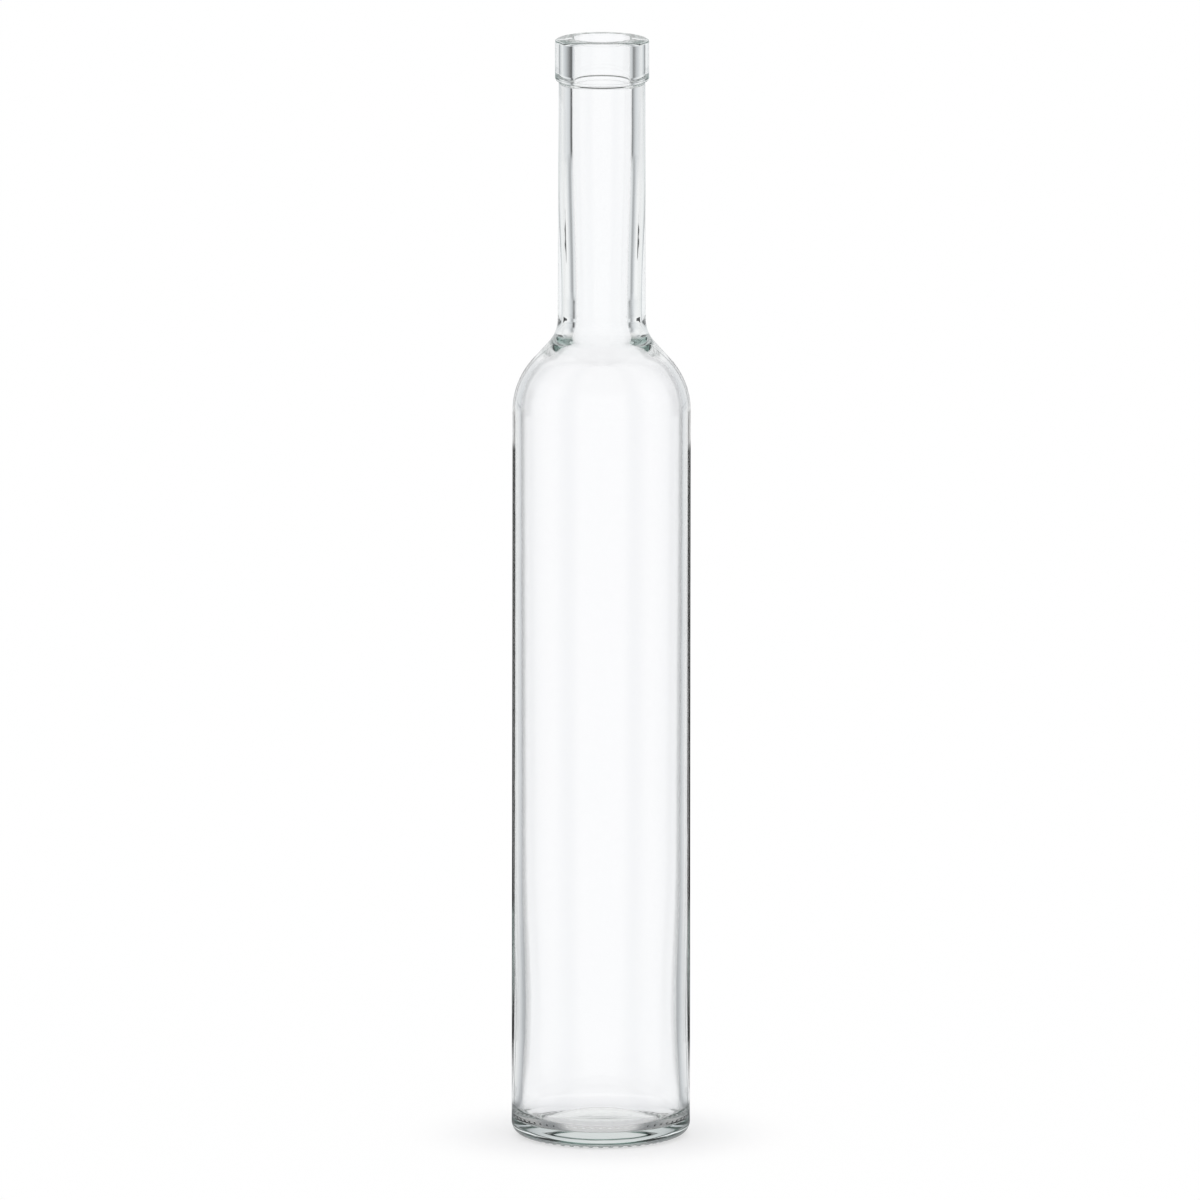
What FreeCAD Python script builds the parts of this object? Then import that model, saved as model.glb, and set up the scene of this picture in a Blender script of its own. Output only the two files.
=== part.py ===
# A slim half-litre glass bottle: straight round body, short round shoulder, long neck and
# a flat cork ring at the mouth. It is one piece of blown glass, so it is one solid: the
# section below, from the push-up under the base, round the outside and back down the
# inside to the floor, is turned about the bottle's axis. The bearing ring is then knurled.
#
# Millimetres. The origin is the centre of the ring that the bottle stands on, +Z is up.
import FreeCAD, Part
import math
import os

# Overall sizes
total_height = 355.0
body_radius = 28.6
body_top = 234.9               # height at which the straight body ends

# Shoulder, outside: a round curve, a straight slope and a hollow curve into the neck
shoulder_radius = 24.4
shoulder_slope = 42.3          # degrees from level of the line square to the slope
neck_foot_radius = 11.8
neck_radius = 13.9

# Cork ring and mouth
ring_overhang = 1.1            # how far the ring stands out from the neck
ring_height = 13.8
ring_lip_round = 1.2           # top outer edge
ring_foot_bevel = 0.4          # bottom outer edge
mouth_radius = 9.0             # the bore that grips the cork
mouth_bevel = 0.5              # inner edge of the rim
mouth_depth = 13.2             # how far down the mouth's bore stays straight

# Inside of the neck: blown wider below the mouth, narrowest near the neck's foot
neck_bore_wide = 9.6
neck_bore_wide_place = 0.16    # share of the way down from the mouth's bore to the waist
neck_bore_narrow = 8.35
neck_waist_rise = 7.0          # from the shoulder's inner curve up to the narrowest place

# Inside of the shoulder
inner_shoulder_radius = 22.8
inner_shoulder_slope = 51.0
inner_neck_foot_radius = 9.1

# Wall of the body: even for most of its height, swollen in a ring where the glass settled
# low on the body, and thinner again just above the base
wall = 2.85
wall_foot = 3.05
swell_height = 39.0            # of the middle of the swollen ring
swell_wall = 4.55              # thickness there, before the curve eases the swell
swell_run = 14.0               # of that curve, up and down from the middle
swell_rise = 70.0              # from the swollen ring up to where the wall is even

# Base
heel_radius = 3.9
bearing_width = 2.2
bearing_inner_round = 1.2
push_up_height = 5.0           # of the hollow under the base, at the axis
base_thickness = 3.7           # of the glass at the axis
floor_corner_radius = 5.6
floor_corner_height = 4.65     # lowest point of the inside

# Knurls: short bars across the bearing ring, whose flat ends the bottle stands on
knurl_count = 48
knurl_height = 0.35
knurl_width = 1.5
knurl_margin = 0.15            # left bare on the bearing ring at both ends of a bar


def point(radius, height):
    return FreeCAD.Vector(radius, 0, height)


def on_circle(centre, radius, degrees):
    angle = math.radians(degrees)
    return point(centre.x + radius * math.cos(angle), centre.z + radius * math.sin(angle))


def line(start, end):
    return Part.LineSegment(start, end).toShape()


def arc(centre, radius, start, end):
    """An arc about centre from one angle to another, in degrees from level."""
    middle = (start + end) / 2
    return Part.Arc(
        on_circle(centre, radius, start),
        on_circle(centre, radius, middle),
        on_circle(centre, radius, end),
    ).toShape()


class Shoulder:
    """Round curve, straight slope and hollow curve from a body radius in to a neck radius."""

    def __init__(self, outer_radius, foot_height, round_radius, slope, hollow_radius, neck):
        self.round_radius = round_radius
        self.slope = slope
        self.hollow_radius = hollow_radius
        self.round_centre = point(outer_radius - round_radius, foot_height)
        self.slope_start = on_circle(self.round_centre, round_radius, slope)
        hollow_end = neck + hollow_radius * (1 - math.cos(math.radians(slope)))
        run = self.slope_start.x - hollow_end
        rise = run / math.tan(math.radians(slope))
        self.slope_end = point(hollow_end, self.slope_start.z + rise)
        self.hollow_centre = on_circle(self.slope_end, hollow_radius, slope)
        self.top = self.hollow_centre.z

    def edges_up(self):
        return [
            arc(self.round_centre, self.round_radius, 0, self.slope),
            line(self.slope_start, self.slope_end),
            arc(self.hollow_centre, self.hollow_radius, 180 + self.slope, 180),
        ]

    def edges_down(self):
        return [
            arc(self.hollow_centre, self.hollow_radius, 180, 180 + self.slope),
            line(self.slope_end, self.slope_start),
            arc(self.round_centre, self.round_radius, self.slope, 0),
        ]


def base_outside():
    """Push-up, its rounded edge, the bearing ring and the heel, from the axis outwards."""
    heel_centre = point(body_radius - heel_radius, knurl_height + heel_radius)
    bearing_inner = heel_centre.x - bearing_width
    edge_centre = point(bearing_inner, knurl_height + bearing_inner_round)
    # The push-up is part of a sphere that the edge's round meets in line.
    rise = push_up_height - edge_centre.z
    edge = bearing_inner_round
    sphere = (edge_centre.x ** 2 + rise ** 2 - edge ** 2) / (2 * (rise + edge))
    sphere_centre = point(0, push_up_height - sphere)
    lean = math.degrees(math.atan2(edge_centre.z - sphere_centre.z, edge_centre.x))
    return [
        arc(sphere_centre, sphere, 90, lean),
        arc(edge_centre, edge, 180 + lean, 270),
        line(point(bearing_inner, knurl_height), point(heel_centre.x, knurl_height)),
        arc(heel_centre, heel_radius, -90, 0),
    ]


def finish_outside():
    """Underside of the cork ring, the ring and its lip, upwards, and in over the rim."""
    ring_radius = neck_radius + ring_overhang
    ring_foot = total_height - ring_height
    foot_bevel = min(ring_foot_bevel, ring_overhang / 2)
    lip_centre = point(ring_radius - ring_lip_round, total_height - ring_lip_round)
    return [
        line(point(neck_radius, ring_foot), point(ring_radius - foot_bevel, ring_foot)),
        line(point(ring_radius - foot_bevel, ring_foot), point(ring_radius, ring_foot + foot_bevel)),
        line(point(ring_radius, ring_foot + foot_bevel), point(ring_radius, lip_centre.z)),
        arc(lip_centre, ring_lip_round, 0, 90),
        line(point(lip_centre.x, total_height), point(mouth_radius + mouth_bevel, total_height)),
    ]


def eased_corner(start, corner, end, run):
    """Lines from start to corner to end, with an arc in line with both round the corner.

    The arc starts and ends at run from the corner, or nearer to it where a line is short.
    """
    back = start - corner
    ahead = end - corner
    run = min(run, 0.9 * back.Length, 0.9 * ahead.Length)
    half_angle = back.getAngle(ahead) / 2
    to_arc = run * (1 / math.cos(half_angle) - math.tan(half_angle))
    back.normalize()
    ahead.normalize()
    inward = back + ahead
    inward.normalize()
    arc_start = corner + back * run
    arc_end = corner + ahead * run
    return [
        line(start, arc_start),
        Part.Arc(arc_start, corner + inward * to_arc, arc_end).toShape(),
        line(arc_end, end),
    ]


def wall_inside():
    """Inner face of the body's wall, from the shoulder down to the floor's corner."""
    top = point(body_radius - wall, body_top)
    even_end = point(body_radius - wall, swell_height + swell_rise)
    swell = point(body_radius - swell_wall, swell_height)
    foot = point(body_radius - wall_foot, floor_corner_height + floor_corner_radius)
    return [line(top, even_end)] + eased_corner(even_end, swell, foot, swell_run)


def floor_inside():
    """Rounded corner at the foot of the wall, then the domed floor, in to the axis."""
    floor_height = push_up_height + base_thickness
    corner_centre = point(
        body_radius - wall_foot - floor_corner_radius,
        floor_corner_height + floor_corner_radius,
    )
    drop = corner_centre.z - floor_height
    dome = (corner_centre.x ** 2 + drop ** 2 - floor_corner_radius ** 2) / (
        2 * (floor_corner_radius - drop)
    )
    dome_centre = point(0, floor_height - dome)
    lean = math.degrees(math.atan2(corner_centre.z - dome_centre.z, corner_centre.x))
    return [
        arc(corner_centre, floor_corner_radius, 0, lean - 180),
        arc(dome_centre, dome, lean, 90),
    ]


def section():
    """The closed half section of the glass, beside the axis."""
    outside = Shoulder(
        body_radius, body_top, shoulder_radius, shoulder_slope, neck_foot_radius, neck_radius
    )
    inside = Shoulder(
        body_radius - wall,
        body_top,
        inner_shoulder_radius,
        inner_shoulder_slope,
        inner_neck_foot_radius,
        neck_bore_narrow,
    )
    mouth_end = total_height - mouth_depth
    neck_waist = inside.top + neck_waist_rise
    neck_belly = mouth_end - neck_bore_wide_place * (mouth_end - neck_waist)

    edges = base_outside()
    edges.append(line(point(body_radius, knurl_height + heel_radius), point(body_radius, body_top)))
    edges += outside.edges_up()
    edges.append(
        line(point(neck_radius, outside.top), point(neck_radius, total_height - ring_height))
    )
    edges += finish_outside()
    bore = [
        point(mouth_radius + mouth_bevel, total_height),
        point(mouth_radius, total_height - mouth_bevel),
        point(mouth_radius, mouth_end),
        point(neck_bore_wide, neck_belly),
        point(neck_bore_narrow, neck_waist),
        point(neck_bore_narrow, inside.top),
    ]
    edges += [line(start, end) for start, end in zip(bore, bore[1:])]
    edges += inside.edges_down()
    edges += wall_inside()
    edges += floor_inside()
    edges.append(line(point(0, push_up_height + base_thickness), point(0, push_up_height)))
    return Part.Face(Part.Wire(edges))


def knurl_bars():
    """Short bars across the bearing ring, evenly spaced about the axis."""
    start = body_radius - heel_radius - bearing_width + knurl_margin
    length = bearing_width - 2 * knurl_margin
    bars = []
    for number in range(knurl_count):
        bar = Part.makeBox(
            length, knurl_width, knurl_height * 2, FreeCAD.Vector(start, -knurl_width / 2, 0)
        )
        bar.rotate(
            FreeCAD.Vector(0, 0, 0), FreeCAD.Vector(0, 0, 1), 360.0 * number / knurl_count
        )
        bars.append(bar)
    return bars


def bottle():
    glass = section().revolve(FreeCAD.Vector(0, 0, 0), FreeCAD.Vector(0, 0, 1), 360)
    return glass.fuse(knurl_bars())


os.makedirs("parts", exist_ok=True)
shape = bottle()
solid = shape.Solids[0]
solid.exportStep("parts/bottle.step")
print("bottle", "solids", len(shape.Solids), "valid", solid.isValid())
print("glass", round(solid.Volume / 1000, 1), "cm3", "box", solid.optimalBoundingBox(False))
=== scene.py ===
import math

import bpy
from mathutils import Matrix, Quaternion, Vector


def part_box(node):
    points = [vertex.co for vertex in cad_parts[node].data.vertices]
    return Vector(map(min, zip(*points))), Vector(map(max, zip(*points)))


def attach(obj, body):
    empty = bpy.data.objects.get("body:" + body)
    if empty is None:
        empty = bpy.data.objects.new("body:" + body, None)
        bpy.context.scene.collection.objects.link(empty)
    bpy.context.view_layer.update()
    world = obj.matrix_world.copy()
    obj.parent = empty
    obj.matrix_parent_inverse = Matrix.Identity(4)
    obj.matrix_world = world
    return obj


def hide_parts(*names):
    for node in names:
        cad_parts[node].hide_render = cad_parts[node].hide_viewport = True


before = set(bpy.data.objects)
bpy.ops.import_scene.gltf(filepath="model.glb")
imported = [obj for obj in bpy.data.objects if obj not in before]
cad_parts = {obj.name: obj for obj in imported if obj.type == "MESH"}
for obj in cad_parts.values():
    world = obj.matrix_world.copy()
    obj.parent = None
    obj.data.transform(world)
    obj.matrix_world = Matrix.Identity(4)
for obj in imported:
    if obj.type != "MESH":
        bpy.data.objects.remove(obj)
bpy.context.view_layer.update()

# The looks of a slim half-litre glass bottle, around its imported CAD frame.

MM = 0.001

# Overall sizes come from the frame. Lengths of the glass are in millimetres until it is a mesh.
LOWEST_CORNER, HIGHEST_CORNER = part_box("bottle")
TOTAL_HEIGHT = HIGHEST_CORNER[2] / MM
WIDEST_RADIUS = min(HIGHEST_CORNER[0], -LOWEST_CORNER[0]) / MM

# Outside of the body
SEAM_HEIGHT = 0.04             # of the mould's seam, which runs down both sides of the body
SEAM_WIDTH = 0.5               # from its middle to its edge
BODY_FOOT_RADIUS = WIDEST_RADIUS - SEAM_HEIGHT
BODY_TAPER = 0.12              # how much narrower the body is under the shoulder
BODY_TOP = 234.9

# Shoulder, outside and inside: a round curve, a straight slope and a hollow curve
SHOULDER = {"round": 24.4, "slope": 42.3, "hollow": 11.8}
INNER_SHOULDER = {"round": 22.8, "slope": 51.0, "hollow": 9.1}

# Neck and cork ring
NECK_RADIUS = 14.05
NECK_TAPER = 0.25
RING_RADIUS = 15.0
RING_HEIGHT = 13.8
RING_ROOT_ROUND = 0.2
RING_FOOT_ROUND = 1.0
RING_LIP_ROUND = 1.2           # height of the lip, which is a flat oval in section
RING_LIP_RUN = 2.6             # its width
SEAM_END_RADIUS = RING_RADIUS + 1

# Mouth and bore
MOUTH_RADIUS = 9.0
MOUTH_BEVEL = 0.45
MOUTH_DEPTH = 14.4             # to the step where the plunger's print ends
MOUTH_STEP = 0.6
MOUTH_STEP_HEIGHT = 0.45
BORE_BELLY_RADIUS = 9.6
BORE_BELLY_DEPTH = 24.0
BORE_WAIST_RADIUS = 8.35
BORE_WAIST_RISE = 7.0
BORE_SAG = 1.25                # over 1 keeps the bore wide further down

# Wall of the body: the glass settled in a thick ring low on the body
WALL_TOP = 2.5
WALL_FOOT = 3.05
WALL_EVEN_HEIGHT = 105.0       # above it the wall thins towards the shoulder
SWELL_HEIGHT = 39.0
SWELL = 1.25
SWELL_RUN_UP = 28.0
SWELL_RUN_DOWN = 21.0

# Base
HEEL_RADIUS = 3.9
BEARING_WIDTH = 2.2
BEARING_INNER_ROUND = 1.2
PUSH_UP_HEIGHT = 5.0
BASE_THICKNESS = 3.7
FLOOR_CORNER_RADIUS = 5.6
FLOOR_CORNER_HEIGHT = 4.65
KNURL_COUNT = 48
KNURL_HEIGHT = 0.35
KNURL_STEEPNESS = 1.1

# Mesh: steps of arcs are in degrees, rings are how many a run of the outline has
STEPS_AROUND = 288             # six to a knurl
SEAM_STEPS = (0.25, 0.5, 0.75, 1.25, 1.5)     # extra ones by a seam, as shares of a step
ARC_STEP = 6.0
DOME_STEP = 1.5
ROUND_STEP = 2.5
HOLLOW_STEP = 4.0
BEARING_EDGE_STEP = 12.0
RING_ROOT_STEP = 22.5
RING_FOOT_STEP = 11.25
BEARING_SHARES = (0.1, 0.3, 0.5, 0.7, 0.9)
LIP_RINGS = 14
FLARE_RINGS = 10
NARROWING_RINGS = 22
BODY_RINGS = 24
WALL_RINGS = 60
NECK_SPACING = 12.0            # between rings on a straight
MOUTH_SPACING = 6.0
SUPPORT = 0.12                 # distance of a supporting ring from the end of a straight
FINE_SUPPORT = 0.03            # the same at the small edges in the mouth
SAME_PLACE = 1e-4              # points nearer than this are one point


class Outline:
    """Half section of the glass as (radius, height, face) points, from the axis to the axis."""

    def __init__(self):
        self.points = []
        self.face = "outside"

    def to(self, radius, height):
        self.points.append((radius, height, self.face))

    def straight(self, end, spacing=TOTAL_HEIGHT, support=SUPPORT):
        """A straight run with supporting rings by its ends, so that it shades as straight."""
        start = Vector(self.points[-1][:2])
        run = Vector(end) - start
        along = run.normalized()
        inner = run.length - 2 * support
        if inner > support:
            count = max(1, math.ceil(inner / spacing))
            for step in range(count + 1):
                self.to(*(start + along * (support + inner * step / count)))
        self.to(*end)

    def arc(self, centre, radius, start, end, step=ARC_STEP):
        count = max(2, math.ceil(abs(end - start) / step))
        for number in range(count + 1):
            angle = math.radians(start + (end - start) * number / count)
            spot = (centre[0] + radius * math.cos(angle), centre[1] + radius * math.sin(angle))
            if self.points and (Vector(spot) - Vector(self.points[-1][:2])).length < SAME_PLACE:
                continue
            self.to(*spot)

    def curve(self, radius_at, start, end, count):
        """A run of heights from start to end with its radius from a function of height."""
        for number in range(1, count + 1):
            height = start + (end - start) * number / count
            self.to(radius_at(height), height)


class Shoulder:
    """Round curve, straight slope and hollow curve from a body radius in to a neck radius."""

    def __init__(self, body, foot, neck, sizes):
        slope = sizes["slope"]
        turn = math.radians(slope)
        self.sizes = sizes
        self.round_centre = (body - sizes["round"], foot)
        start = (
            self.round_centre[0] + sizes["round"] * math.cos(turn),
            foot + sizes["round"] * math.sin(turn),
        )
        hollow_end = neck + sizes["hollow"] * (1 - math.cos(turn))
        self.slope_start = start
        self.slope_end = (hollow_end, start[1] + (start[0] - hollow_end) / math.tan(turn))
        self.top = self.slope_end[1] + sizes["hollow"] * math.sin(turn)
        self.hollow_centre = (neck + sizes["hollow"], self.top)

    def up(self, outline):
        slope = self.sizes["slope"]
        outline.arc(self.round_centre, self.sizes["round"], 0, slope, ROUND_STEP)
        outline.straight(self.slope_end)
        outline.arc(self.hollow_centre, self.sizes["hollow"], 180 + slope, 180, HOLLOW_STEP)

    def down(self, outline):
        slope = self.sizes["slope"]
        outline.arc(self.hollow_centre, self.sizes["hollow"], 180, 180 + slope, HOLLOW_STEP)
        outline.straight(self.slope_start)
        outline.arc(self.round_centre, self.sizes["round"], slope, 0, ROUND_STEP)


def ease(share):
    """Smooth step from 0 to 1."""
    share = min(max(share, 0.0), 1.0)
    return share * share * (3 - 2 * share)


def wall(height):
    """Thickness of the body's wall."""
    thinning = max(0.0, height - WALL_EVEN_HEIGHT) / (BODY_TOP - WALL_EVEN_HEIGHT)
    run = SWELL_RUN_UP if height > SWELL_HEIGHT else SWELL_RUN_DOWN
    swell = SWELL * math.exp(-(((height - SWELL_HEIGHT) / run) ** 2))
    return WALL_FOOT + (WALL_TOP - WALL_FOOT) * thinning + swell


def body_radius(height):
    return BODY_FOOT_RADIUS - BODY_TAPER * ease(height / BODY_TOP)


def body_inner_radius(height):
    return body_radius(height) - wall(height)


def draw_base(outline):
    """Push-up, its rounded edge, the bearing ring and the heel."""
    heel_centre = (BODY_FOOT_RADIUS - HEEL_RADIUS, KNURL_HEIGHT + HEEL_RADIUS)
    edge_centre = (heel_centre[0] - BEARING_WIDTH, KNURL_HEIGHT + BEARING_INNER_ROUND)
    # The push-up is part of a sphere that the edge's round meets in line.
    rise = PUSH_UP_HEIGHT - edge_centre[1]
    sphere = (edge_centre[0] ** 2 + rise**2 - BEARING_INNER_ROUND**2) / (
        2 * (rise + BEARING_INNER_ROUND)
    )
    sphere_centre = (0.0, PUSH_UP_HEIGHT - sphere)
    lean = math.degrees(math.atan2(edge_centre[1] - sphere_centre[1], edge_centre[0]))
    outline.to(0.0, PUSH_UP_HEIGHT)
    outline.arc(sphere_centre, sphere, 90, lean, DOME_STEP)
    outline.arc(edge_centre, BEARING_INNER_ROUND, 180 + lean, 270, BEARING_EDGE_STEP)
    outline.face = "bearing"
    for share in BEARING_SHARES:
        outline.to(edge_centre[0] + BEARING_WIDTH * share, KNURL_HEIGHT)
    outline.face = "outside"
    outline.arc(heel_centre, HEEL_RADIUS, -90, 0)


def draw_ring(outline, neck_top):
    """Under the cork ring, up its side, over the lip and the rim into the mouth."""
    foot = TOTAL_HEIGHT - RING_HEIGHT
    root_centre = (neck_top + RING_ROOT_ROUND, foot - RING_ROOT_ROUND)
    foot_centre = (RING_RADIUS - RING_FOOT_ROUND, foot + RING_FOOT_ROUND)
    outline.straight((neck_top, root_centre[1]), NECK_SPACING)
    outline.arc(root_centre, RING_ROOT_ROUND, 180, 90, RING_ROOT_STEP)
    outline.arc(foot_centre, RING_FOOT_ROUND, -90, 0, RING_FOOT_STEP)
    outline.straight((RING_RADIUS, TOTAL_HEIGHT - RING_LIP_ROUND))
    for number in range(1, LIP_RINGS + 1):
        turn = math.pi / 2 * number / LIP_RINGS
        outline.to(
            RING_RADIUS - RING_LIP_RUN * (1 - math.cos(turn)),
            TOTAL_HEIGHT - RING_LIP_ROUND * (1 - math.sin(turn)),
        )
    outline.straight((MOUTH_RADIUS + MOUTH_BEVEL, TOTAL_HEIGHT))
    outline.face = "inside"
    outline.straight((MOUTH_RADIUS, TOTAL_HEIGHT - MOUTH_BEVEL), support=FINE_SUPPORT)


def draw_bore(outline, waist):
    """Straight mouth, a step, then a belly that narrows to the waist."""
    mouth_end = TOTAL_HEIGHT - MOUTH_DEPTH
    belly = TOTAL_HEIGHT - BORE_BELLY_DEPTH
    under_step = (MOUTH_RADIUS + MOUTH_STEP, mouth_end - MOUTH_STEP_HEIGHT)

    def flare(height):
        return under_step[0] + (BORE_BELLY_RADIUS - under_step[0]) * ease(
            (under_step[1] - height) / (under_step[1] - belly)
        )

    def narrowing(height):
        share = ((belly - height) / (belly - waist)) ** BORE_SAG
        return BORE_BELLY_RADIUS + (BORE_WAIST_RADIUS - BORE_BELLY_RADIUS) * ease(share)

    outline.straight((MOUTH_RADIUS, mouth_end), MOUTH_SPACING, FINE_SUPPORT)
    outline.straight(under_step, support=FINE_SUPPORT)
    outline.curve(flare, under_step[1], belly, FLARE_RINGS)
    outline.curve(narrowing, belly, waist, NARROWING_RINGS)


def draw_floor(outline):
    """Rounded corner at the foot of the wall, then the domed floor."""
    foot = FLOOR_CORNER_HEIGHT + FLOOR_CORNER_RADIUS
    floor = PUSH_UP_HEIGHT + BASE_THICKNESS
    centre = (body_inner_radius(foot) - FLOOR_CORNER_RADIUS, foot)
    drop = centre[1] - floor
    dome = (centre[0] ** 2 + drop**2 - FLOOR_CORNER_RADIUS**2) / (
        2 * (FLOOR_CORNER_RADIUS - drop)
    )
    dome_centre = (0.0, floor - dome)
    lean = math.degrees(math.atan2(centre[1] - dome_centre[1], centre[0]))
    outline.arc(centre, FLOOR_CORNER_RADIUS, 0, lean - 180)
    outline.arc(dome_centre, dome, lean, 90, DOME_STEP)


def glass_outline():
    outline = Outline()
    draw_base(outline)
    outline.curve(body_radius, KNURL_HEIGHT + HEEL_RADIUS, BODY_TOP, BODY_RINGS)
    outside = Shoulder(body_radius(BODY_TOP), BODY_TOP, NECK_RADIUS, SHOULDER)
    outside.up(outline)
    draw_ring(outline, NECK_RADIUS - NECK_TAPER)
    inside = Shoulder(body_inner_radius(BODY_TOP), BODY_TOP, BORE_WAIST_RADIUS, INNER_SHOULDER)
    draw_bore(outline, inside.top + BORE_WAIST_RISE)
    outline.straight((BORE_WAIST_RADIUS, inside.top))
    inside.down(outline)
    wall_foot = FLOOR_CORNER_HEIGHT + FLOOR_CORNER_RADIUS
    outline.curve(body_inner_radius, BODY_TOP, wall_foot, WALL_RINGS)
    draw_floor(outline)
    return outline.points


def seam(angle, radius):
    """How far the mould's seam stands out at an angle from one side of the bottle."""
    off = min(abs(math.sin(angle)) * radius / SEAM_WIDTH, 1.0)
    return SEAM_HEIGHT * (1 + math.cos(math.pi * off)) / 2


def knurl(angle):
    """How far the bearing ring drops at an angle: rounded bars with bare glass between."""
    return KNURL_HEIGHT * ease(0.5 + KNURL_STEEPNESS * math.cos(KNURL_COUNT * angle))


def placed(radius, height, face, angle):
    """A point of the outline, turned to an angle, with the relief of its face."""
    if face == "outside" and radius > SEAM_END_RADIUS:
        radius += seam(angle, radius)
    elif face == "bearing":
        height -= knurl(angle)
    return Vector((radius * math.cos(angle), radius * math.sin(angle), height)) * MM


def angles_around():
    """Even steps, with finer ones by the seams on both sides."""
    step = 2 * math.pi / STEPS_AROUND
    extra = [side * part * step for part in SEAM_STEPS for side in (-1, 1)]
    turns = [number * step for number in range(STEPS_AROUND)]
    turns += [(side + part) % (2 * math.pi) for side in (0, math.pi) for part in extra]
    return sorted(turns)


def mesh_object(name, vertices, faces):
    mesh = bpy.data.meshes.new(name)
    mesh.from_pydata(vertices, [], faces)
    thing = bpy.data.objects.new(name, mesh)
    bpy.context.collection.objects.link(thing)
    return thing


def revolved(name, outline, angles):
    """Mesh object of an outline that starts and ends on the axis."""
    vertices = [Vector((0, 0, outline[0][1] * MM))]
    for radius, height, face in outline[1:-1]:
        vertices += [placed(radius, height, face, angle) for angle in angles]
    vertices.append(Vector((0, 0, outline[-1][1] * MM)))
    count = len(angles)
    rings = len(outline) - 2
    last = len(vertices) - 1
    faces = []
    for number in range(count):
        after = (number + 1) % count
        faces.append((0, 1 + after, 1 + number))
        for ring in range(rings - 1):
            low, high = 1 + ring * count, 1 + (ring + 1) * count
            faces.append((low + number, low + after, high + after, high + number))
        top = 1 + (rings - 1) * count
        faces.append((last, top + number, top + after))
    thing = mesh_object(name, [tuple(vertex) for vertex in vertices], faces)
    thing.data.validate()
    thing.data.shade_smooth()
    return thing


# Nodes

def fill(socket, value):
    """Link a socket to another, or set its value."""
    if isinstance(value, bpy.types.NodeSocket):
        socket.id_data.links.new(value, socket)
    else:
        socket.default_value = value


def add(tree, kind, **inputs):
    """A node of a kind, with some of its inputs set or linked."""
    node = tree.nodes.new(kind)
    for name, value in inputs.items():
        fill(node.inputs[name], value)
    return node


def math_node(tree, operation, *values):
    node = tree.nodes.new("ShaderNodeMath")
    node.operation = operation
    for socket, value in zip(node.inputs, values):
        fill(socket, value)
    return node.outputs[0]


def mixed(tree, share, first, second):
    """Colour between two, by a share that is a socket."""
    node = tree.nodes.new("ShaderNodeMix")
    node.data_type = "RGBA"
    colours = [socket for socket in node.inputs if socket.type == "RGBA"]
    fill(node.inputs[0], share)
    fill(colours[0], first)
    fill(colours[1], second)
    return next(socket for socket in node.outputs if socket.type == "RGBA")


def scaled(tree, colour, share):
    node = tree.nodes.new("ShaderNodeVectorMath")
    node.operation = "SCALE"
    fill(node.inputs[0], colour)
    fill(node.inputs["Scale"], share)
    return node.outputs["Vector"]


def ranged(tree, value, start, end, low=0.0, high=1.0):
    """Smooth step of a value between start and end."""
    node = tree.nodes.new("ShaderNodeMapRange")
    node.interpolation_type = "SMOOTHSTEP"
    fill(node.inputs["Value"], value)
    for name, number in zip(("From Min", "From Max", "To Min", "To Max"), (start, end, low, high)):
        node.inputs[name].default_value = number
    return node.outputs["Result"]


def colour_ramp(tree, share, stops):
    """Ramp node with (place, colour) stops."""
    node = add(tree, "ShaderNodeValToRGB", Fac=share)
    elements = node.color_ramp.elements
    while len(elements) < len(stops):
        elements.new(0.5)
    for element, (place, colour) in zip(elements, stops):
        element.position = place
        element.color = (*colour, 1)
    return node


def new_tree(owner):
    """The emptied node tree of a material or a world."""
    owner.use_nodes = True
    owner.node_tree.nodes.clear()
    return owner.node_tree


# Glass

WAVE_SCALE = 60.0              # to the metre
WAVE_DETAIL = 2.0
WAVE_STRENGTH = 0.04
WAVE_HEIGHT = 0.001            # in metres
GLASS_IOR = 1.52
GLASS_TINT = (0.86, 0.95, 0.925, 1.0)
GLASS_DENSITY = 10.0


def clear_glass():
    """Clear glass with the faint waves of a moulded surface, green where it is thick."""
    material = bpy.data.materials.new("clear_glass")
    tree = new_tree(material)
    place = add(tree, "ShaderNodeTexCoord").outputs["Object"]
    waves = add(tree, "ShaderNodeTexNoise", Vector=place, Scale=WAVE_SCALE, Detail=WAVE_DETAIL)
    bump = add(tree, "ShaderNodeBump", Height=waves.outputs["Fac"])
    bump.inputs["Strength"].default_value = WAVE_STRENGTH
    bump.inputs["Distance"].default_value = WAVE_HEIGHT
    shader = add(tree, "ShaderNodeBsdfPrincipled", Normal=bump.outputs["Normal"])
    shader.inputs["Base Color"].default_value = (1.0, 1.0, 1.0, 1.0)
    shader.inputs["Roughness"].default_value = 0.0
    shader.inputs["IOR"].default_value = GLASS_IOR
    shader.inputs["Transmission Weight"].default_value = 1.0
    absorb = add(tree, "ShaderNodeVolumeAbsorption")
    absorb.inputs["Color"].default_value = GLASS_TINT
    absorb.inputs["Density"].default_value = GLASS_DENSITY
    add(
        tree,
        "ShaderNodeOutputMaterial",
        Surface=shader.outputs["BSDF"],
        Volume=absorb.outputs["Volume"],
    )
    return material


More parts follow.
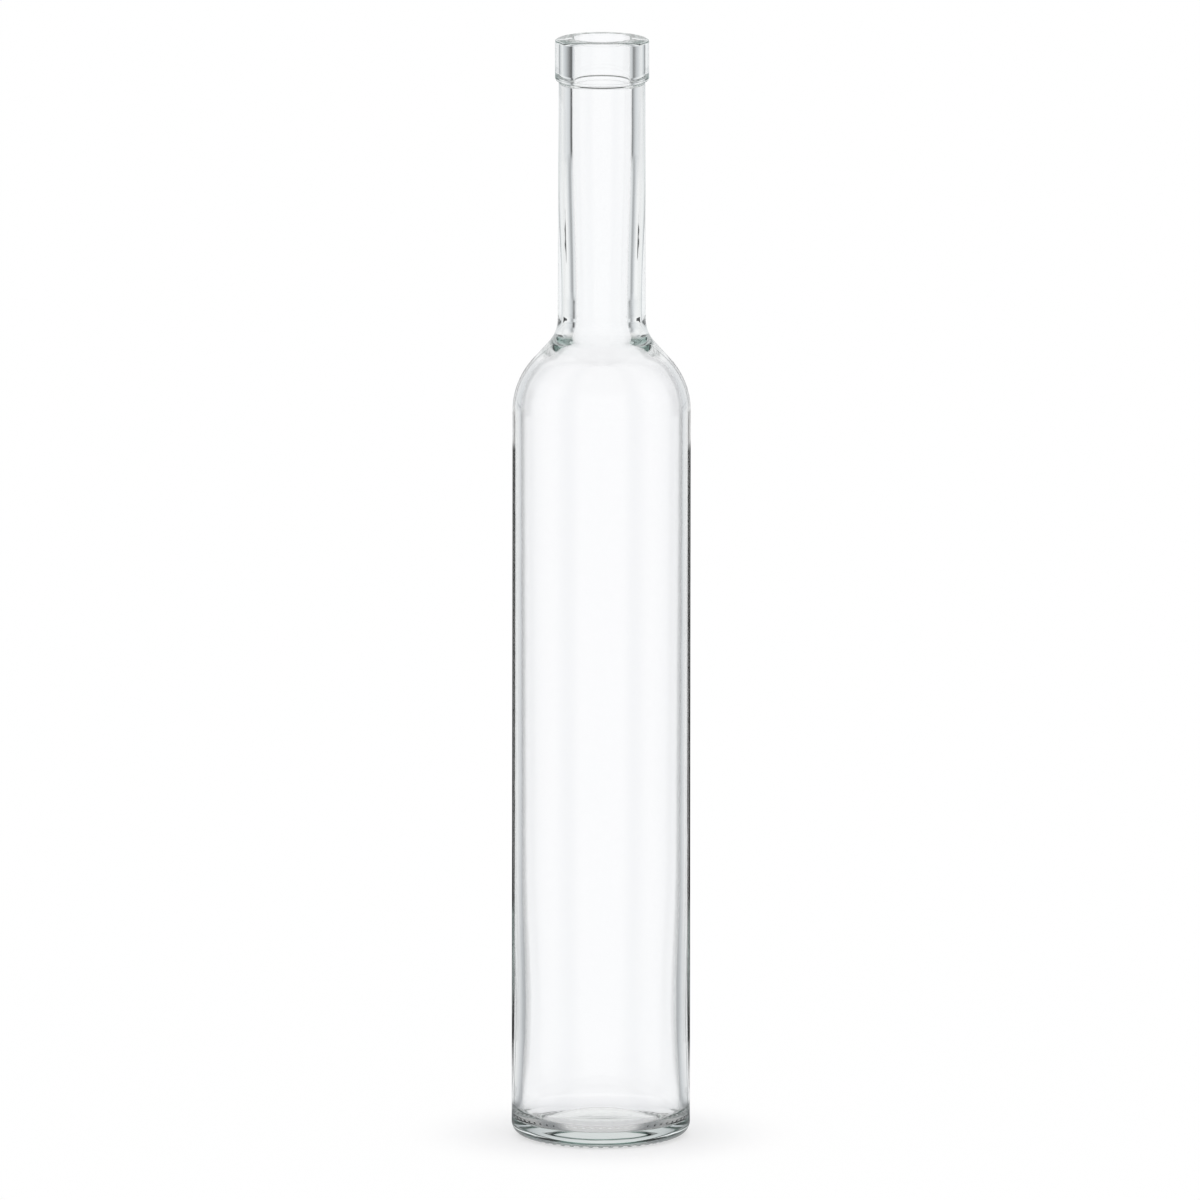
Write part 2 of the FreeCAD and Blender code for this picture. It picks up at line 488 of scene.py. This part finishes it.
# The studio, as the glass shows it. Straight through, the glass shows plain white paper. Its
# reflections show grey cards round the bottle, painted into the floor and the world, which the
# camera sees plain white: painted shade that only the glass's reflections show. The cards are
# (angle, level) pairs, with the angle in degrees to the left (under 0) or the right of the line
# straight back from the bottle. Light that leaves the body meets the floor nearest, light from the
# neck further off, light from the ring furthest.
BODY_PAINTED_CARDS = (
    (-75, 0.85), (-63, 0.75), (-57, 0.40), (-50, 0.42), (-44, 0.62), (-38, 0.80), (-30, 0.92),
    (-18, 0.97), (18, 0.97), (30, 0.92), (38, 0.80), (44, 0.62), (51, 0.42), (55, 0.42),
    (62, 0.75), (75, 0.85),
)
NECK_PAINTED_CARDS = (
    (-75, 0.85), (-68, 0.5), (-65, 0.03), (-60, 0.05), (-56, 0.42), (-52, 0.58), (-47, 0.66),
    (-41, 0.70), (-35, 0.76), (-20, 0.86), (0, 0.97), (20, 0.86), (35, 0.76), (41, 0.70),
    (47, 0.64), (53, 0.50), (58, 0.36), (64, 0.14), (68, 0.5), (75, 0.85),
)
RING_PAINTED_CARDS = (
    (-72, 0.80), (-66, 0.60), (-61, 0.06), (-56, 0.08), (-50, 0.16), (-44, 0.26), (-38, 0.36),
    (-26, 0.55), (-12, 0.72), (0, 0.90), (12, 0.85), (26, 0.66), (38, 0.52), (44, 0.38),
    (50, 0.24), (56, 0.20), (62, 0.55), (75, 0.80),
)
# From the sides to the front the cards are the same for every height, left and right.
FRONT_PAINTED_CARDS = ((100, 1.0), (112, 1.0), (128, 0.72), (138, 0.72), (150, 1.0), (180, 1.0))
PAINTED_CARD_TINT = (0.955, 0.99, 1.02)       # the painted cards' shade is a cool grey
PAINTED_CARD_TINT_GAIN = 3.0                  # how fast the tint comes in as a card gets darker
PAPER_WHITE = (1, 1, 1, 1)
THROUGH = (0.985, 0.985, 1.0, 1)      # paper, looked at straight through the glass: a bit cool

# A dark strip painted on the floor behind the bottle, which only the glass's reflections show,
# draws the body's edge lines: painted shade.
PAINTED_STRIP_LEVEL = 0.02
PAINTED_STRIP_EDGE = (17.2, 19.0)             # in degrees to each side
PAINTED_STRIP_REACH = (0.10, 0.18, 1.38, 1.42)     # in metres from the bottle's axis
OUTER_SHARE = 0.55                    # scales the angle of what comes off the outside alone,
                                      # which so shows a strip nearly twice as wide

# (number of reflections from which it holds, level of the light) pairs: painted shade, a level set
# for the number of reflections in the glass. Two is what comes out of fine edges, three to five
# what comes out of the thick base, more what comes down the neck.
PAINTED_SHADE_BY_REFLECTIONS = ((0, 1.0), (2, 0.06), (3, 0.8), (4, 0.45), (5, 0.75), (6, 0.6))
DEEPEST = 20.0                        # number of reflections at the end of their ramp

# World, by the upward part of a direction: low down are the neck's painted cards, then the body's,
# then an even painted ceiling, all of them painted shade that only reflections show
HORIZON = (0.12, 0.35)                # where the neck's cards give way to the body's
CEILING = (0.45, 0.70)                # and those to the ceiling
PAINTED_CEILING = 0.75                       # level of the painted ceiling, which only reflections show

# Floor: distances are in metres from the bottle's axis
FLOOR_RADIUS = 3.0
FLOOR_SIDES = 96
PAPER_GLOW = 0.5                      # share of its light that the paper by the bottle gives off
SWEEP_GLOW = 0.97                     # the same for the paper further out
SWEEP_START = (0.032, 0.065)          # where the one passes into the other
BASE_SHADE = 0.60                     # level of the floor beside the bottle, in reflections
BASE_SHADE_REACH = (0.05, 0.10)       # where it ends
BASE_SHADE_EDGE = (0.42, 0.70)        # where it starts, as the sideways share of the distance
NECK_REACH = (1.55, 1.80)             # light that leaves the neck lands beyond this
RING_REACH = (2.31, 2.34, 2.50, 2.56)      # and light that leaves the ring within this


def azimuth(tree, place):
    """Angle of a place about the bottle, in radians from straight back."""
    parts = add(tree, "ShaderNodeSeparateXYZ", Vector=place)
    return math_node(tree, "ARCTAN2", parts.outputs["X"], parts.outputs["Y"])


def painted_card_colour(level):
    """A painted card's grey, tinted more the darker it is: painted shade for reflections."""
    tint = [1 + (part - 1) * min(1.0, PAINTED_CARD_TINT_GAIN * (1 - level)) for part in PAINTED_CARD_TINT]
    return [level * part for part in tint]


def painted_cards(tree, place, levels):
    """Colour of the painted cards towards a place: painted shade that only reflections show."""
    mirrored = tuple((-degrees, level) for degrees, level in reversed(FRONT_PAINTED_CARDS))
    share = math_node(tree, "MULTIPLY_ADD", azimuth(tree, place), 0.5 / math.pi, 0.5)
    stops = [
        ((degrees + 180) / 360, painted_card_colour(level))
        for degrees, level in mirrored + levels + FRONT_PAINTED_CARDS
    ]
    return colour_ramp(tree, share, stops).outputs["Color"]


def entered(tree):
    """1 for light that went through glass, 0 for what comes off the outside alone."""
    path = add(tree, "ShaderNodeLightPath")
    return math_node(tree, "MINIMUM", path.outputs["Transmission Depth"], 1.0)


def as_painted_reflection(tree, painted_reflection):
    """Paper for a straight look through the glass, and the painted reflection for reflections,
    with painted shade by the number of reflections.
    """
    depth = add(tree, "ShaderNodeLightPath").outputs["Glossy Depth"]
    # Painted shade: a level for each number of reflections in the glass.
    stops = [(max(0.0, (count - 0.5) / DEEPEST), (level,) * 3) for count, level in PAINTED_SHADE_BY_REFLECTIONS]
    ramp = colour_ramp(tree, math_node(tree, "DIVIDE", depth, DEEPEST), stops)
    ramp.color_ramp.interpolation = "CONSTANT"
    reflected = math_node(tree, "MINIMUM", depth, 1.0)
    return scaled(tree, mixed(tree, reflected, THROUGH, painted_reflection), ramp.outputs["Color"])


def as_seen(tree, painted_reflection):
    """Plain white where the camera looks straight at it, and elsewhere the paper with the painted
    reflection.
    """
    camera_ray = add(tree, "ShaderNodeLightPath").outputs["Is Camera Ray"]
    return mixed(tree, camera_ray, as_painted_reflection(tree, painted_reflection), PAPER_WHITE)


def make_world():
    world = bpy.data.worlds.new("studio")
    tree = new_tree(world)
    place = add(tree, "ShaderNodeTexCoord").outputs["Generated"]
    up = add(tree, "ShaderNodeSeparateXYZ", Vector=place).outputs["Z"]
    neck = painted_cards(tree, place, NECK_PAINTED_CARDS)
    body = painted_cards(tree, place, BODY_PAINTED_CARDS)
    # Painted cards and a painted ceiling, for the glass's reflections alone.
    painted_card_walls = mixed(tree, ranged(tree, up, *HORIZON), neck, body)
    painted_reflection = mixed(tree, ranged(tree, up, *CEILING), painted_card_walls, (PAINTED_CEILING, PAINTED_CEILING, PAINTED_CEILING, 1))
    background = add(tree, "ShaderNodeBackground", Color=as_seen(tree, painted_reflection), Strength=1.0)
    add(tree, "ShaderNodeOutputWorld", Surface=background.outputs[0])
    bpy.context.scene.world = world


def band(tree, value, reach):
    """1 in the middle of a reach of four numbers, passing to 0 at its ends."""
    near, start, end, far = reach
    begun = ranged(tree, value, near, start)
    return math_node(tree, "MULTIPLY", begun, ranged(tree, value, end, far, 1.0, 0.0))


def painted_dark_strip(tree, place, distance):
    """1 on the painted dark strip behind the bottle: painted shade for the glass's reflections."""
    off = math_node(tree, "ABSOLUTE", azimuth(tree, place))
    width = ranged(tree, entered(tree), 0.0, 1.0, OUTER_SHARE, 1.0)
    off = math_node(tree, "MULTIPLY", off, width)
    within = ranged(tree, off, *(math.radians(edge) for edge in PAINTED_STRIP_EDGE), 1.0, 0.0)
    return math_node(tree, "MULTIPLY", within, band(tree, distance, PAINTED_STRIP_REACH))


def base_shade(tree, place, distance):
    """Level of the floor: lower close to both sides of the bottle, 1 elsewhere."""
    x = add(tree, "ShaderNodeSeparateXYZ", Vector=place).outputs["X"]
    off = math_node(tree, "DIVIDE", math_node(tree, "ABSOLUTE", x), distance)
    close = ranged(tree, distance, *BASE_SHADE_REACH, 1.0, 0.0)
    beside = math_node(tree, "MULTIPLY", ranged(tree, off, *BASE_SHADE_EDGE), close)
    return math_node(tree, "MULTIPLY_ADD", beside, BASE_SHADE - 1.0, 1.0)


def floor_painted_reflection(tree, place, distance):
    """Painted reflection of the floor: painted cards, a painted dark strip and the painted shade
    beside the bottle, before reflections are counted.
    """
    neck = ranged(tree, distance, *NECK_REACH)
    painted_reflection = mixed(tree, neck, painted_cards(tree, place, BODY_PAINTED_CARDS), painted_cards(tree, place, NECK_PAINTED_CARDS))
    painted_reflection = mixed(tree, band(tree, distance, RING_REACH), painted_reflection, painted_cards(tree, place, RING_PAINTED_CARDS))
    dark = (PAINTED_STRIP_LEVEL, PAINTED_STRIP_LEVEL, PAINTED_STRIP_LEVEL, 1)
    # Painted shade: the dark strip that draws the body's edge lines in reflections.
    painted_reflection = mixed(tree, painted_dark_strip(tree, place, distance), painted_reflection, dark)
    return scaled(tree, painted_reflection, base_shade(tree, place, distance))


def floor_paper():
    """Paper that glows a little, so that it is white, and still takes the bottle's shadow."""
    material = bpy.data.materials.new("floor")
    tree = new_tree(material)
    place = add(tree, "ShaderNodeTexCoord").outputs["Object"]
    length = tree.nodes.new("ShaderNodeVectorMath")
    length.operation = "LENGTH"
    fill(length.inputs[0], place)
    distance = length.outputs["Value"]
    # In the glass's reflections the paper shows painted cards and painted shade.
    seen = as_seen(tree, floor_painted_reflection(tree, place, distance))
    strength = ranged(tree, distance, *SWEEP_START, PAPER_GLOW, SWEEP_GLOW)
    matt = scaled(tree, seen, math_node(tree, "SUBTRACT", 1.0, strength))
    glow = add(tree, "ShaderNodeEmission", Color=seen, Strength=strength)
    paper = add(tree, "ShaderNodeBsdfDiffuse", Color=matt)
    both = tree.nodes.new("ShaderNodeAddShader")
    fill(both.inputs[0], glow.outputs[0])
    fill(both.inputs[1], paper.outputs[0])
    add(tree, "ShaderNodeOutputMaterial", Surface=both.outputs[0])
    return material


def make_floor():
    turns = [2 * math.pi * number / FLOOR_SIDES for number in range(FLOOR_SIDES)]
    rim = [(FLOOR_RADIUS * math.cos(turn), FLOOR_RADIUS * math.sin(turn), 0) for turn in turns]
    floor = mesh_object("floor", rim, [tuple(range(FLOOR_SIDES))])
    floor.data.materials.append(floor_paper())


# Camera, in metres and degrees
CAMERA_DISTANCE = 8.0
CAMERA_ELEVATION = 9.5
CAMERA_ROLL = 0.07
CAMERA_AIM = Vector((-0.00045, 0.0, 0.1735))
CAMERA_LENS = 751.0                   # in millimetres, as the sensor's width is
CAMERA_SENSOR = 36.0
CAMERA_CLIP = (0.1, 50.0)


def make_camera():
    elevation = math.radians(CAMERA_ELEVATION)
    data = bpy.data.cameras.new("camera")
    data.sensor_width = CAMERA_SENSOR
    data.lens = CAMERA_LENS
    data.clip_start, data.clip_end = CAMERA_CLIP
    camera = bpy.data.objects.new("camera", data)
    bpy.context.collection.objects.link(camera)
    back = Vector((0, -math.cos(elevation), math.sin(elevation)))
    camera.location = CAMERA_AIM + CAMERA_DISTANCE * back
    turn = (CAMERA_AIM - camera.location).to_track_quat("-Z", "Y")
    roll = Quaternion((0, 0, 1), math.radians(CAMERA_ROLL))
    camera.rotation_euler = (turn @ roll).to_euler()
    bpy.context.scene.camera = camera


# Light stays in the thick glass of the base and the shoulder for many bounces.
BOUNCES = 40

scene = bpy.context.scene
scene.view_settings.view_transform = "Standard"
scene.cycles.max_bounces = BOUNCES
scene.cycles.transmission_bounces = BOUNCES
scene.cycles.glossy_bounces = BOUNCES

glass = revolved("bottle_glass", glass_outline(), angles_around())
glass.data.materials.append(clear_glass())
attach(glass, "root")
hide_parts("bottle")

make_world()
make_floor()
make_camera()
